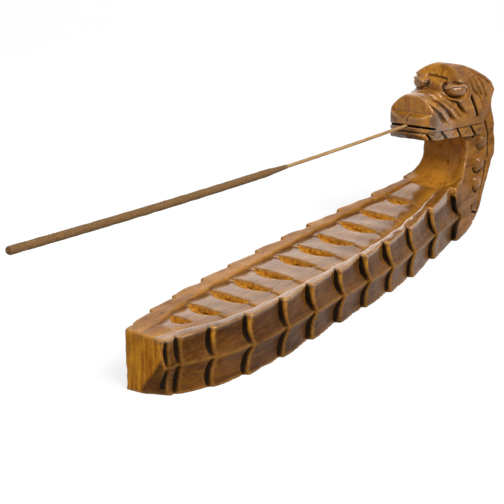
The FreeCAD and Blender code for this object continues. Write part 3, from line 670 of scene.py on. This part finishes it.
zones = dict(
    # a zone is a product of S curves: what each is measured by, where it starts and where it is full
    aboveTable=[("z", 0.3, 2.0)],
    onTop=[("z", 15.5, 17.0), ("x", 205, 200)],
    ridge=[("fromRidge", 0.7, 0.25), ("toFlank", -0.8, -0.3), ("x", 206, 202)],
    pastTail=[("x", 8, 16)],
    slots=[("x", 209.5, 206.5), ("x", 3.0, 3.8), ("toFlank", -1.1, -0.5), ("z", 21.5, 20.0)],
    lines=[("side", 4.5, 7.5), ("x", 178, 182)],
    mouth=[("fromMouth", 0.6, 0.35), ("x", 178, 180), ("x", 188.2, 187.2)],
    pits=[("fromPit", 1.1, 0.8)],
    stops=[("gouge", 0.86, 0.98)],
    gouged=[("gouge", 0.02, 0.2), ("z", 22.0, 20.0)],
    nose=[("fromNose", 0.9, 0.45), ("z", 56.6, 57.4)],
    tailEnd=[("x", 4.2, 3.2), ("inFacet", 0.05, 0.35)],
    brow=[("fromBrow", 0.5, 0.2), ("x", 205, 206)],
    # painted highlight: the top of each scale's raised edge
    litTips=[("fromEdge", 2.2, 0.9), ("z", 12.0, 17.5), ("toFlank", -2.2, -0.8), ("x", 206, 200), ("x", 8, 14)],
    scutes=[("inside", -0.2, 1.4), ("x", 12, 16)],
    nearRim=[("inNear", 0.5, -0.5), ("z", 18.0, 19.5)],
    pastFar=[("inFar", 0.2, -0.6)],
    farRim=[("inFar", 0.2, -0.6), ("z", 18.5, 20.0)],
    eyeballs=[("fromEye", 0.5, 0.25), ("z", 58, 60)],
    amber=[("inNear", -0.8, 0.6)],
    scoop=[("fromScoop", 1.2, 0.2)],
    lips=[("x", 200, 190), ("z", 40, 44), ("x", 196, 186)],
    lipTop=[("z", 56.6, 55.6)],
    neck=[("x", 203, 210), ("z", 0, 2)],
    snout=[("x", 178, 181), ("x", 210, 203), ("z", 40, 43)],
    crown=[("z", 46, 58)],
    rims=[("z", 17.5, 19.5), ("x", 209, 203), ("z", 40, 30)],
)
marks = dict(
    noseAt=185.7, pitAt=(206.2, 3.9, 63.9), pitSize=(2.0, 1.3, 2.1), amberWidth=5.0,
    solidOver=0.5, fineReach=2, broadReach=5,
)


def zoneShares(x, y, z, inNear, inFar):
    # share of every zone at each vertex, from the distances that the zones are measured by
    px, py, pz = marks["pitAt"]
    by = dict(
        x=x, z=z, side=np.abs(y), inNear=inNear, inFar=inFar, inside=np.minimum(inNear, inFar),
        toFlank=np.maximum(-y - flankReach(x, z, -1), y - flankReach(x, z, 1)),
        gouge=bellyGouge(x, y), inFacet=-tailFacet(x, y, z), fromEdge=scalePlace(x, z)[3],
        fromRidge=np.abs(z - trunk["ridge"]), fromNose=np.abs(x - marks["noseAt"]),
        fromMouth=np.abs(z - slotLevel(cuts["mouth"], x)), fromEye=np.abs(eyeFields(x, y, z)[0]),
        fromPit=ellipsoidReach(x - px, np.abs(y) - py, z - pz, marks["pitSize"]),
        fromBrow=np.abs(sphereField(x, y, z, head["foreheadCentre"], head["foreheadRadius"])),
        fromScoop=sphereField(x, y, z, neck["scoopCentre"], neck["scoopRadius"]),
    )
    return {name: np.prod([ramp(by[n], start, full) for n, start, full in ranges], axis=0)
            for name, ranges in zones.items()}


def carvingMasks(x, y, z, fine, broad):
    # every mask by its name, from each vertex's place and the share of wood close to it and further round it
    inNear, inFar, _ = bellyEdges(x, y)
    zone = zoneShares(x, y, z, inNear, inFar)
    onTop, pastFar = zone["onTop"], zone["pastFar"]
    gouged = zone["gouged"] * onTop
    # wear and painted light: more than half is wood round a hollow, less round an edge
    # painted shade: the finish darkens where this is high
    hollow = np.clip((fine - 0.515) * 6.5, 0, 1) * zone["aboveTable"]
    # lighter edges, as wear and painted highlight; the ridge adds a painted highlight line along the flank
    edge = np.clip(np.maximum((0.475 - fine) * 7.0, 0.5 * zone["ridge"]), 0, 1)
    shelter = np.clip((broad - 0.5) * 3.0, 0, 1) * zone["aboveTable"]
    # stain and painted shade: darkest of the flanks' slots, head's lines, mouth, pits and gouges' stops
    slots = flankSlot(x, z) * (2.2 - 1.2 * zone["pastTail"]) * zone["slots"]
    slots = slots * upFrom(0.3, np.sqrt(rowBow(z)))
    lines = np.maximum(sideEngraving(x, z, True), 0.55 * foldLines(x, z)) * zone["lines"]
    # painted shade in the pits, the mouth and the feet of the wrinkles
    stainAndShade = np.max([slots * 1.3, lines, zone["mouth"], 0.4 * zone["pits"],
                    0.55 * zone["stops"] * onTop], axis=0)
    # bare wood: gouges, nose, tail end and brow; a painted golden highlight on the tips of the scales
    cutWoodAndLitTips = np.max([gouged, 0.45 * zone["nose"], zone["tailEnd"], 0.4 * zone["brow"],
                      0.95 * zone["litTips"]], axis=0)
    # shine: scutes, rims, eyeballs and bosses
    scute = zone["scutes"] * onTop * (1 - gouged)
    nearRim = zone["nearRim"] * onTop
    knobs = sum(fade((x - cx) ** 2 + (z - cz) ** 2, r ** 2) for cx, cz, r, _ in cuts["bosses"])
    shine = np.maximum(scute, 1.4 * nearRim) + 0.4 * zone["farRim"] * onTop
    shine = shine + 1.6 * zone["eyeballs"] + 1.2 * knobs
    # colour: amber beside the near rim and in the scoop, painted top light on head and rims, darker lips
    amber = np.maximum(fade(inNear, marks["amberWidth"]) * zone["amber"] * onTop, zone["scoop"])
    lip = zone["lips"] * upFrom(0.45, zone["lipTop"])
    # painted top light: head and neck paler, most on the crown
    headTopLight = (zone["neck"] + zone["snout"]) * (0.5 + 0.4 * zone["crown"])
    # painted top light: rim tops paler, the far rim most
    rimPale = (0.4 + 0.4 * pastFar) * zone["rims"]
    gloss = nearRim + headTopLight * (1 - 0.9 * lip)
    return dict(
        hollow=hollow, edge=edge, shelter=shelter, stainAndShade=np.clip(stainAndShade, 0, 1), cutWoodAndLitTips=np.clip(cutWoodAndLitTips, 0, 1),
        shine=np.clip(shine, 0, 2), scute=scute, amber=np.clip(amber, 0, 1), band=pastFar * onTop,
        pale=headTopLight * (1 - 0.75 * lip) + rimPale, gloss=np.clip(gloss, 0, 1),
    )


vertexX, vertexY, vertexZ = (pointsOf(carving) * datum["perMetre"]).T
vertexX = vertexX - datum["x"]
solid = np.clip(0.5 - field / marks["solidOver"], 0, 1).astype(np.float32)
woodRound = [sampleGrid(boxBlur(solid, marks[n]), axes, vertexX, vertexY, vertexZ)
             for n in ("fineReach", "broadReach")]
masks = carvingMasks(vertexX, vertexY, vertexZ, *woodRound)
for name, values in masks.items():
    setAttribute(carving, name, values)
print("carving masks set")
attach(carving, "burner")
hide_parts("carved_body")


# incense stick

stick = dict(
    lips=(180.0, 52.2), tilt=3.6, inMouth=7.8, length=254.0, sag=1.3, sides=20,
    # share of each waver, how it is drawn out along the stick and wound round it, and its size
    wavers=[(1.0, 0.9, 3, 5.0), (0.6, 1.0, 2, 1.7)],
)
splintSizes = dict(radius=0.65, cutEnd=[0.0, 0.15], cutShare=0.8, ringsFrom=0.6, shortBy=1.0, rings=420,
                   rough=0.05, seed=21)
pasteSizes = dict(
    radius=1.4, length=149.5, earlier=4.0, proud=0.08, slimmer=0.14, taperBefore=3.0, taper=17.0, rings=520,
    # distance from the tip and share of the radius, over the rounded end
    roundFrom=0.6, roundEnd=[(0.4, 0.96), (0.2, 0.88), (0.06, 0.74), (0.0, 0.55)], rough=0.035, seed=31,
)


def stickPath(along):
    # middle line of the stick: straight out of the mouth, tip up, with a slight sag between mouth and tip
    t = np.radians(stick["tilt"])
    out = along - stick["inMouth"]
    dip = np.clip(out / (stick["length"] - stick["inMouth"]), 0, 1)
    x = stick["lips"][0] - out * np.cos(t) + datum["x"]
    z = stick["lips"][1] + out * np.sin(t) - stick["sag"] * 4 * dip * (1 - dip)
    return x, z


def rolledTube(name, along, radius, rough, seed):
    # a ring of points carried along the stick: radius by distance, with a small unevenness round and along it
    count, sides = len(along), stick["sides"]
    turn = np.arange(sides) / sides * 2 * np.pi
    x, z = stickPath(along)
    s, a = along[:, None], turn[None, :]
    uneven = 1.0
    for number, (share, drawn, wound, size) in enumerate(stick["wavers"]):
        wave = waver(s * drawn, np.cos(a) * wound, np.sin(a) * wound, size, seed + number)
        uneven = uneven + share * rough * wave
    r = radius[:, None] * uneven
    rings = np.stack([x[:, None] + 0 * a, r * np.cos(a), z[:, None] + r * np.sin(a)], 2)
    ends = np.array([[x[0], 0, z[0]], [x[-1], 0, z[-1]]])
    points = np.concatenate([rings.reshape(-1, 3), ends]) / datum["perMetre"]
    ring, step = np.meshgrid(np.arange(count - 1), np.arange(sides), indexing="ij")
    after = (step + 1) % sides
    a0, a1 = ring * sides + step, ring * sides + after
    b0, b1 = a0 + sides, a1 + sides
    walls = [np.stack(corners, 2).reshape(-1, 3) for corners in ([a0, b0, b1], [a0, b1, a1])]
    edge = np.arange(sides)
    nextEdge = (edge + 1) % sides
    first, last = count * sides, count * sides + 1
    capA = np.stack([np.full(sides, first), edge, nextEdge], 1)
    capB = np.stack([np.full(sides, last), (count - 1) * sides + nextEdge, (count - 1) * sides + edge], 1)
    return buildMesh(name, points, np.concatenate([*walls, capA, capB]))


def makeSplint():
    # an even rod with a small chamfer at the end in the mouth
    sizes = splintSizes
    along = np.linspace(sizes["ringsFrom"], stick["length"] - sizes["shortBy"], sizes["rings"])
    along = np.concatenate([sizes["cutEnd"], along])
    radius = np.full(len(along), sizes["radius"])
    radius[0] *= sizes["cutShare"]
    return rolledTube("bamboo_splint", along, radius, sizes["rough"], sizes["seed"])


def makeRoll():
    # a roll that swells from just over the splint's radius to its own on an S curve, with a rounded tip
    sizes = pasteSizes
    start = stick["length"] - sizes["length"] - sizes["earlier"]
    fromTip, share = np.array(sizes["roundEnd"]).T
    along = np.linspace(start, stick["length"] - sizes["roundFrom"], sizes["rings"])
    along = np.concatenate([along, stick["length"] - fromTip])
    swell = ramp(along, start - sizes["taperBefore"], start + sizes["taper"])
    thin = splintSizes["radius"]
    radius = thin + sizes["proud"] + (sizes["radius"] - thin - sizes["slimmer"]) * swell
    radius[-len(share):] *= share
    return rolledTube("paste_roll", along, radius, sizes["rough"], sizes["seed"])


splint = makeSplint()
roll = makeRoll()
for piece, node, finish in ((splint, "bamboo_core", "bamboo"), (roll, "incense_paste", "incense_paste")):
    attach(piece, "incense_stick")
    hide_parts(node)
print("incense stick rolled")


# finishes

class Shade:
    # a socket of a material, so that sums of masks read as plain expressions
    def __init__(self, tree, socket=None):
        self.tree, self.socket = tree, socket

    def node(self, kind, settings=None, sockets=None, output=0):
        # any node: its settings first, then a value or a link for each socket
        made = self.tree.nodes.new(kind)
        for key, value in (settings or {}).items():
            setattr(made, key, value)
        for key, value in (sockets or {}).items():
            target = made.inputs[key]
            if isinstance(value, Shade):
                self.tree.links.new(value.socket, target)
            else:
                target.default_value = value
        return Shade(self.tree, made.outputs[output] if made.outputs else None)

    def maths(self, operation, first, second):
        return self.node("ShaderNodeMath", {"operation": operation}, {0: first, 1: second})

    def __add__(self, other):
        return self.maths("ADD", self, other)

    def __radd__(self, other):
        return self.maths("ADD", other, self)

    def __sub__(self, other):
        return self.maths("SUBTRACT", self, other)

    def __rsub__(self, other):
        return self.maths("SUBTRACT", other, self)

    def __mul__(self, other):
        return self.maths("MULTIPLY", self, other)

    def __rmul__(self, other):
        return self.maths("MULTIPLY", other, self)

    def clamp(self):
        return self.node("ShaderNodeClamp", None, {"Value": self})

    def between(self, low, high):
        # 0 below low, 1 above high, an S curve between
        return self.node("ShaderNodeMapRange", {"interpolation_type": "SMOOTHSTEP"},
                         {"Value": self, "From Min": low, "From Max": high})

    def blend(self, factor, first, second):
        # mix of two colours; a Mix node's colour sockets are numbers 6 and 7, and its colour output 2
        first, second = (c if isinstance(c, Shade) else (*c, 1) for c in (first, second))
        return self.node("ShaderNodeMix", {"data_type": "RGBA"}, {0: factor, 6: first, 7: second}, output=2)


def startMaterial(name, look):
    # a plain surface shader with its constant values set, its tree wrapped, and the piece's own coordinates
    material = bpy.data.materials.new(name)
    material.use_nodes = True
    tree = material.node_tree
    shader = next(n for n in tree.nodes if n.type == "BSDF_PRINCIPLED")
    for key, value in look["fixed"].items():
        shader.inputs[key].default_value = value
    shade = Shade(tree)
    return material, shade, shader, shade.node("ShaderNodeTexCoord", output="Object")


def feed(shade, shader, key, value):
    # link a worked-out value to one of the shader's sockets
    shade.tree.links.new(value.socket, shader.inputs[key])


def feedBump(shade, shader, height, look):
    # relief from a height, as strong and as deep as the look says
    bump = shade.node("ShaderNodeBump", None, {
        "Height": height, "Strength": look["bumpStrength"], "Distance": look["bumpDistance"]})
    feed(shade, shader, "Normal", bump)


def streaks(shade, coords, stretch, size, detail=4.0, rough=0.6):
    # noise drawn out along one direction
    mapped = shade.node("ShaderNodeMapping", None, {"Vector": coords, "Scale": stretch})
    return shade.node("ShaderNodeTexNoise", None,
                      {"Vector": mapped, "Scale": size, "Detail": detail, "Roughness": rough})


wood = dict(
    dark=(0.050, 0.016, 0.0015), mid=(0.165, 0.066, 0.007), light=(0.215, 0.080, 0.008),
    # the gold colour is painted top light, for the paler head and rims
    litGold=(0.470, 0.205, 0.020), ochre=(0.66, 0.32, 0.025), orange=(0.360, 0.120, 0.008),
    # the rubbed-wood colour also serves as painted highlight on edges
    black=(0.010, 0.005, 0.002), wornAndLit=(0.44, 0.23, 0.06), amber=(0.60, 0.275, 0.034),
    # stretch, size and detail of fibre, bands, blotch, speck, strokes and end grain
    noises=[((0.09, 1.0, 1.0), 900, 5), ((0.05, 0.6, 1.0), 160, 3), ((0.6, 1.0, 1.0), 70, 3),
            ((1.0, 1.0, 1.0), 1500, 2), ((0.35, 1.0, 0.7), 420, 3), ((1.0, 1.0, 0.08), 700, 4)],
    fixed={"Coat Roughness": 0.12, "Coat IOR": 1.5, "IOR": 1.45, "Specular IOR Level": 0.08},
    bumpStrength=0.8, bumpDistance=0.0006,
)


def varnishedWood():
    # stained wood under thin varnish: dark in the cuts, golden where cut or rubbed, glossy where handled
    # painted light and shade too: darker in cuts and hollows, paler on head, rims, edges and scale tips
    material, shade, shader, coords = startMaterial("varnished_wood", wood)
    mask = {n: shade.node("ShaderNodeAttribute", {"attribute_name": n}, output=2) for n in masks}
    fibre, bands, blotch, speck, strokes, endGrain = (streaks(shade, coords, *n) for n in wood["noises"])
    # stain over the grain, and a lit golden copy of it for painted top light
    tone = (fibre * 0.4 + bands * 0.4 + blotch * 0.45).between(0.46, 0.80)
    deep = shade.blend(tone, wood["dark"], wood["mid"])
    litTone = shade.blend(tone, wood["light"], wood["litGold"])
    colour = shade.blend(mask["pale"].clamp(), deep, litTone)
    colour = shade.blend((mask["amber"] * (0.45 + 0.5 * blotch)).clamp(), colour, wood["amber"])
    colour = shade.blend(mask["amber"] * blotch.between(0.50, 0.62) * 0.45, colour, wood["mid"])
    # bare wood where the blade came last, and the painted highlight on the scales' tips
    fresh = shade.blend(endGrain.between(0.35, 0.65), wood["orange"], wood["ochre"])
    fresh = shade.blend(blotch.between(0.48, 0.66) * 0.45, fresh, wood["mid"])
    colour = shade.blend((mask["cutWoodAndLitTips"] * 0.9).clamp(), colour, fresh)
    # rubbed edges, lightened as wear and painted highlight; rust in sheltered places
    wornAndLitEdges = (mask["edge"] * (0.35 + 0.75 * blotch)).clamp()
    colour = shade.blend(wornAndLitEdges * 0.75, colour, wood["wornAndLit"])
    rust = (mask["shelter"] * (1 - mask["hollow"]) * blotch * 1.1).clamp()
    colour = shade.blend(rust * 0.5, colour, wood["orange"])
    # painted shade in the hollows, less on bare wood
    hollowShade = (mask["hollow"] * (0.6 + 0.5 * blotch) * (1 - mask["cutWoodAndLitTips"] * 0.75)).clamp()
    colour = shade.blend(hollowShade * 0.75, colour, wood["dark"])
    # dark and worn brush strokes
    brushed = (0.5 - 0.35 * mask["scute"] - 0.25 * mask["cutWoodAndLitTips"]).clamp()
    colour = shade.blend(strokes.between(0.52, 0.70) * brushed, colour, wood["dark"])
    colour = shade.blend(mask["gloss"] * (1 - strokes).between(0.54, 0.72) * 0.4, colour, wood["wornAndLit"])
    # stain and painted shade: near black where the mask is high
    colour = shade.blend(mask["stainAndShade"].between(0.15, 0.6), colour, wood["black"])
    feed(shade, shader, "Base Color", colour)
    rough = 0.45 - 0.12 * tone + 0.2 * mask["cutWoodAndLitTips"] + 0.2 * mask["stainAndShade"] + 0.2 * mask["band"]
    rough = rough + 0.1 * (speck - 0.5)
    feed(shade, shader, "Roughness", rough.clamp())
    coat = 0.07 - 0.6 * mask["stainAndShade"] + 0.10 * mask["gloss"] + 0.46 * mask["shine"]
    coat = coat + 0.8 * mask["edge"] * mask["gloss"] + 0.25 * (blotch - 0.5)
    feed(shade, shader, "Coat Weight", coat.clamp())
    relief = fibre * 0.3 + speck * (0.15 + 0.35 * mask["cutWoodAndLitTips"]) + endGrain * mask["cutWoodAndLitTips"] * 0.6
    relief = (relief + blotch * 0.8 + strokes) * (1 + 0.8 * mask["gloss"] - 0.5 * mask["scute"])
    feedBump(shade, shader, relief, wood)
    return material


bamboo = dict(
    dark=(0.26, 0.150, 0.052), light=(0.52, 0.355, 0.175), patch=(0.30, 0.17, 0.08),
    grain=((0.03, 1.0, 1.0), 2600, 4), grainOver=(0.3, 0.7), rough=(0.45, 0.2),
    patches=((0.4, 1.0, 1.0), 120, 2), patchOver=(0.45, 0.7), patchShare=0.4,
    fixed={"IOR": 1.45, "Specular IOR Level": 0.15}, bumpStrength=0.3, bumpDistance=0.0002,
)
paste = dict(
    dark=(0.11, 0.060, 0.022), light=(0.28, 0.172, 0.080), patch=(0.16, 0.095, 0.05),
    grain=((1.0, 1.0, 1.0), 2400, 3), grainOver=(0.3, 0.7), rough=(0.78, 0.15),
    patches=((0.35, 1.0, 1.0), 260, 3), patchOver=(0.4, 0.7), patchShare=0.45,
    fleck=(0.30, 0.22, 0.14), fleckSize=1400.0, fleckOver=(0.05, 0.28), fleckShare=0.4, fleckRelief=0.5,
    fixed={"IOR": 1.4, "Specular IOR Level": 0.2}, bumpStrength=0.7, bumpDistance=0.0003,
)


def stickFinish(name, look):
    # dry and matt: a grain between two colours, browner patches, and pale flecks where the look has them
    material, shade, shader, coords = startMaterial(name, look)
    grain, patch = (streaks(shade, coords, *look[n]) for n in ("grain", "patches"))
    colour = shade.blend(grain.between(*look["grainOver"]), look["dark"], look["light"])
    colour = shade.blend(patch.between(*look["patchOver"]) * look["patchShare"], colour, look["patch"])
    height = grain
    if "fleck" in look:
        fleck = shade.node("ShaderNodeTexVoronoi", None, {"Vector": coords, "Scale": look["fleckSize"]})
        pale = (1 - fleck.between(*look["fleckOver"])) * look["fleckShare"]
        colour = shade.blend(pale, colour, look["fleck"])
        height = grain + look["fleckRelief"] * fleck
    feed(shade, shader, "Base Color", colour)
    feed(shade, shader, "Roughness", look["rough"][0] + look["rough"][1] * grain)
    feedBump(shade, shader, height, look)
    return material


for piece, finish in ((carving, varnishedWood()), (splint, stickFinish("bare_bamboo", bamboo)),
                      (roll, stickFinish("rolled_paste", paste))):
    piece.data.materials.clear()
    piece.data.materials.append(finish)
print("finishes on")


# stage, light, camera

stage = dict(
    cameraAt=(-0.55712, -0.30748, 0.22045), right=(0.52145, -0.85328, 0.0),
    down=(-0.26014, -0.15898, -0.95239), focal=1800.0, image=504.0, sensor=36.0, clip=(0.01, 50),
    floorHalf=4.0, floorPlain=(0.36, 0.33, 0.28, 1), floorSeen=(0.33, 0.37, 0.43, 1), floorGlow=0.72,
    white=(1, 1, 1, 1), skyColour=(1.0, 0.90, 0.78, 1), skyStrength=0.36, whiteStrength=1.0,
    # name, place, size, power and colour of each lamp
    lamps=[("key", (-0.55, -0.75, 1.0), 0.6, 9.6, (1.0, 0.90, 0.78)),
           ("glint", (0.12, -0.72, 0.55), 0.24, 2.2, (1.0, 0.94, 0.88)),
           ("spark", (-0.10, -0.55, 0.75), 0.16, 1.2, (1.0, 0.96, 0.92)),
           ("fill", (-0.9, 0.3, 0.6), 0.8, 1.8, (1.0, 0.92, 0.82)),
           ("sheen", (0.85, 0.62, 0.42), 1.0, 2.4, (1.0, 0.82, 0.70))],
    lampsAim=(0, 0, 0.03),
)


def backdropRays(shade):
    # 1 for what the camera sees directly, in a reflection or through something clear
    rays = [shade.node("ShaderNodeLightPath", output=n)
            for n in ("Is Camera Ray", "Is Glossy Ray", "Is Transmission Ray")]
    return (rays[0] + rays[1] + rays[2]).clamp()


def setFloor():
    # a wide pale square that keeps the shadow and glows for the eye and for the gloss
    half = stage["floorHalf"]
    corners = np.array([(-half, -half, 0), (half, -half, 0), (half, half, 0), (-half, half, 0)])
    floor = buildMesh("floor", corners, np.array([[0, 1, 2, 3]]))
    material = bpy.data.materials.new("pale_floor")
    material.use_nodes = True
    material.node_tree.nodes.clear()
    shade = Shade(material.node_tree)
    plain = shade.node("ShaderNodeBsdfDiffuse", None, {"Color": stage["floorPlain"]})
    seen = shade.node("ShaderNodeBsdfDiffuse", None, {"Color": stage["floorSeen"]})
    glow = shade.node("ShaderNodeEmission", None, {"Color": stage["white"], "Strength": stage["floorGlow"]})
    lit = shade.node("ShaderNodeAddShader", None, {0: seen, 1: glow})
    both = shade.node("ShaderNodeMixShader", None, {0: backdropRays(shade), 1: plain, 2: lit})
    shade.node("ShaderNodeOutputMaterial", None, {"Surface": both})
    floor.data.materials.append(material)


def setWorld():
    # soft warm light all round, white where it is seen
    world = bpy.data.worlds.new("studio")
    bpy.context.scene.world = world
    world.use_nodes = True
    world.node_tree.nodes.clear()
    shade = Shade(world.node_tree)
    soft = shade.node("ShaderNodeBackground", None,
                      {"Color": stage["skyColour"], "Strength": stage["skyStrength"]})
    white = shade.node("ShaderNodeBackground", None,
                       {"Color": stage["white"], "Strength": stage["whiteStrength"]})
    sky = shade.node("ShaderNodeMixShader", None, {0: backdropRays(shade), 1: soft, 2: white})
    shade.node("ShaderNodeOutputWorld", None, {"Surface": sky})


def setLamps():
    # round area lamps, each turned to the middle of the object
    for name, at, size, power, colour in stage["lamps"]:
        lamp = bpy.data.lights.new(name, "AREA")
        lamp.shape, lamp.size, lamp.energy, lamp.color = "DISK", size, power, colour
        holder = bpy.data.objects.new(name, lamp)
        holder.location = at
        holder.rotation_euler = (Vector(stage["lampsAim"]) - Vector(at)).to_track_quat("-Z", "Y").to_euler()
        bpy.context.scene.collection.objects.link(holder)


def setCamera():
    # camera at the photograph's viewing angle: its right and up directions, with its back square to both
    camera = bpy.data.cameras.new("camera")
    camera.sensor_width = stage["sensor"]
    camera.lens = stage["focal"] / stage["image"] * stage["sensor"]
    camera.clip_start, camera.clip_end = stage["clip"]
    holder = bpy.data.objects.new("camera", camera)
    right, up = Vector(stage["right"]), -Vector(stage["down"])
    back = right.cross(up)
    turn = Matrix((right, up, back)).transposed().to_4x4()
    holder.matrix_world = Matrix.Translation(stage["cameraAt"]) @ turn
    bpy.context.scene.collection.objects.link(holder)
    bpy.context.scene.camera = holder


setFloor()
setWorld()
setLamps()
setCamera()
bpy.context.scene.view_settings.view_transform = "Standard"
print("stage set")
